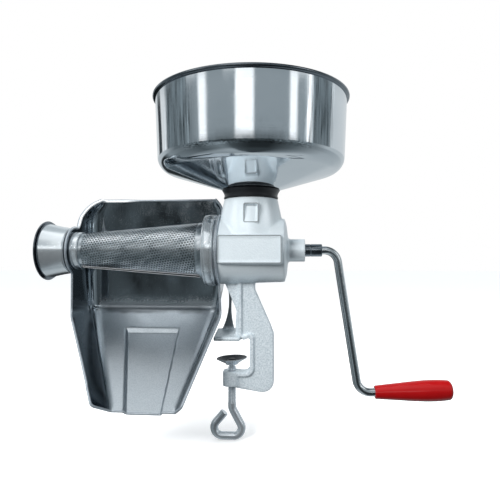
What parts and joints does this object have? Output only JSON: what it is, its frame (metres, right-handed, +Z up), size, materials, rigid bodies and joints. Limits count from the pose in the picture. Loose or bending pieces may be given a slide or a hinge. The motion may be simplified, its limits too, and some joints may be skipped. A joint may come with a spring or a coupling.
{
  "type": "food mill",
  "caption": "Hand-cranked clamp-on food mill: round steel hopper over a cast body, conical perforated filter with waste outlet, splash tray, crank with red grip.",
  "frame": {"origin": "centre of the upper jaw's bearing face, in line with the clamp screw, where the mill rests on a table top", "axes": "+X along the mill's axis from the waste outlet to the crank, +Z up along the clamp screw and parallel to the hopper's axis, -Y the front with the name plate"},
  "size_m": [0.4588, 0.22, 0.3836],
  "materials": {
    "cast_aluminium": "sand-cast, satin with a fine stipple",
    "polished_steel": "mirror-polished stainless sheet",
    "brushed_steel": "spun satin stainless steel",
    "perforated_steel": "perforated stainless sheet",
    "plated_steel": "bright zinc or nickel plate",
    "dark_steel": "dark polished steel",
    "black_rubber": "satin black",
    "red_handle": "glossy red",
    "bronze": "plain bearing bronze"
  },
  "bodies": {
    "housing": {"body_casting": "cast_aluminium", "shaft_bush": "bronze", "lock_pins": "plated_steel", "filter_gasket": "black_rubber", "splash_tray": "polished_steel"},
    "hopper": {"hopper_bowl": "polished_steel", "hopper_seal": "black_rubber"},
    "filter": {"filter_cone": "perforated_steel", "filter_seam": "perforated_steel", "filter_collar": "polished_steel", "filter_neck_ring": "polished_steel"},
    "outlet": {"waste_outlet": "brushed_steel"},
    "crank": {"auger": "cast_aluminium", "auger_spring": "plated_steel", "thrust_washer": "plated_steel", "drive_shaft": "dark_steel", "crank_arm": "plated_steel", "grip_retainer": "plated_steel"},
    "grip": {"crank_grip": "red_handle"},
    "screw_carrier": {"pad_washer": "plated_steel"},
    "screw": {"clamp_screw": "plated_steel"},
    "pad": {"clamp_pad": "plated_steel"}
  },
  "joints": [
    {"name": "crank_spin", "type": "hinge", "parent": "housing", "child": "crank", "pos_m": [0, 0, 0.1], "axis": [1, 0, 0], "continuous": true},
    {"name": "grip_spin", "type": "hinge", "parent": "crank", "child": "grip", "pos_m": [0.1404, 0, -0.0572], "axis": [0.9987, 0, 0.0507], "continuous": true},
    {"name": "hopper_lift", "type": "slide", "parent": "housing", "child": "hopper", "axis": [0, 0, 1], "range_m": [0, 0.06]},
    {"name": "filter_twist", "type": "hinge", "parent": "housing", "child": "filter", "pos_m": [0, 0, 0.1], "axis": [1, 0, 0], "range_deg": [0, 25]},
    {"name": "outlet_pull", "type": "slide", "parent": "filter", "child": "outlet", "axis": [-1, 0, 0], "range_m": [0, 0.03]},
    {"name": "pad_travel", "type": "slide", "parent": "housing", "child": "screw_carrier", "axis": [0, 0, 1], "range_m": [-0.0051, 0.0181]},
    {"name": "clamp_screw_turn", "type": "hinge", "parent": "screw_carrier", "child": "screw", "pos_m": [0, 0, 0], "axis": [0, 0, 1], "range_deg": [-1200, 4320]},
    {"name": "pad_tilt", "type": "hinge", "parent": "screw_carrier", "child": "pad", "pos_m": [0, 0, -0.026], "axis": [0, 1, 0], "range_deg": [-2, 8]}
  ],
  "couplings": [
    {"joint": "pad_travel", "follows": "clamp_screw_turn", "m_per_rad": 0.00023873}
  ]
}
